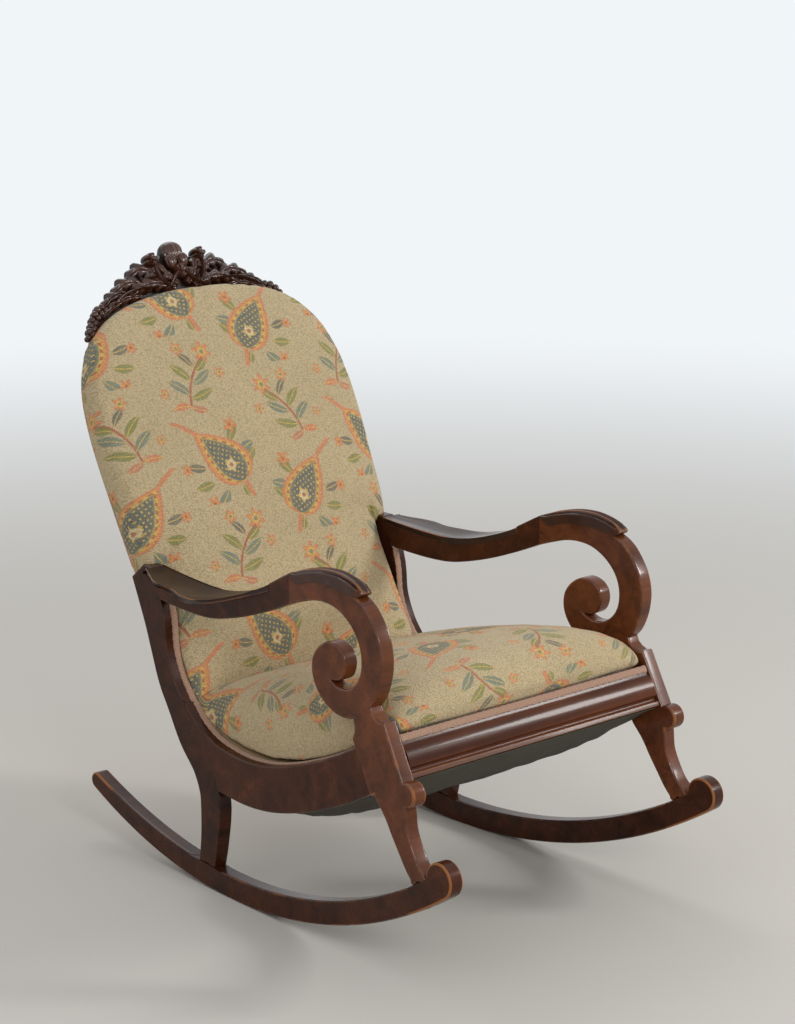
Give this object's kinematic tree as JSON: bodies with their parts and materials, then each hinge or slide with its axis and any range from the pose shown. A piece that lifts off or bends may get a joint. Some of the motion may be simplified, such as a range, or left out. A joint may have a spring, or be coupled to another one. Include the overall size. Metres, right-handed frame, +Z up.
{
  "type": "upholstered rocking chair",
  "caption": "Rocking chair on two curved rockers, with open scroll arms, a coil-sprung padded seat and a round-topped padded back under a carved crest.",
  "frame": {"origin": "on the floor, at the middle of the bounding box in plan", "axes": "+Z up, the chair faces -Y, +X is the sitter's left"},
  "size_m": [0.6778, 1.1246, 1.0494],
  "materials": {
    "mahogany": "polished dark red-brown, worn lighter along the edges",
    "hidden_wood": "plain sawn",
    "upholstery": "matt pebbled weave with printed sprigs",
    "gimp": "braided cotton",
    "dust_cloth": "thin matt cambric",
    "webbing": "woven jute",
    "hessian": "open woven jute",
    "spring_steel": "coppered wire gone dull",
    "screw_steel": "dull"
  },
  "bodies": {
    "root": {"rocker_right": "mahogany", "rocker_left": "mahogany", "rear_post_right": "mahogany", "rear_post_left": "mahogany", "side_rail_right": "mahogany", "side_rail_left": "mahogany", "front_post_right": "mahogany", "front_post_left": "mahogany", "arm_right": "mahogany", "arm_left": "mahogany", "scroll_right": "mahogany", "scroll_left": "mahogany", "elbow_rest_right": "mahogany", "elbow_rest_left": "mahogany", "arm_cap_right": "mahogany", "arm_cap_left": "mahogany", "front_rail": "mahogany", "rear_seat_rail": "hidden_wood", "rear_seat_cover": "upholstery", "corner_blocks": "hidden_wood", "back_uprights": "hidden_wood", "back_bottom_rail": "hidden_wood", "crest_rail": "hidden_wood", "carved_crest": "mahogany", "seat_webbing_long": "webbing", "seat_webbing_cross": "webbing", "seat_springs": "spring_steel", "spring_cover": "hessian", "seat_cushion": "upholstery", "back_webbing": "webbing", "back_cushion": "upholstery", "back_edge_pad": "upholstery", "outside_back": "upholstery", "dust_cover": "dust_cloth", "seat_gimp_right": "gimp", "seat_gimp_left": "gimp", "front_gimp": "gimp", "dowels": "hidden_wood", "rocker_screws": "screw_steel"}
  },
  "joints": []
}
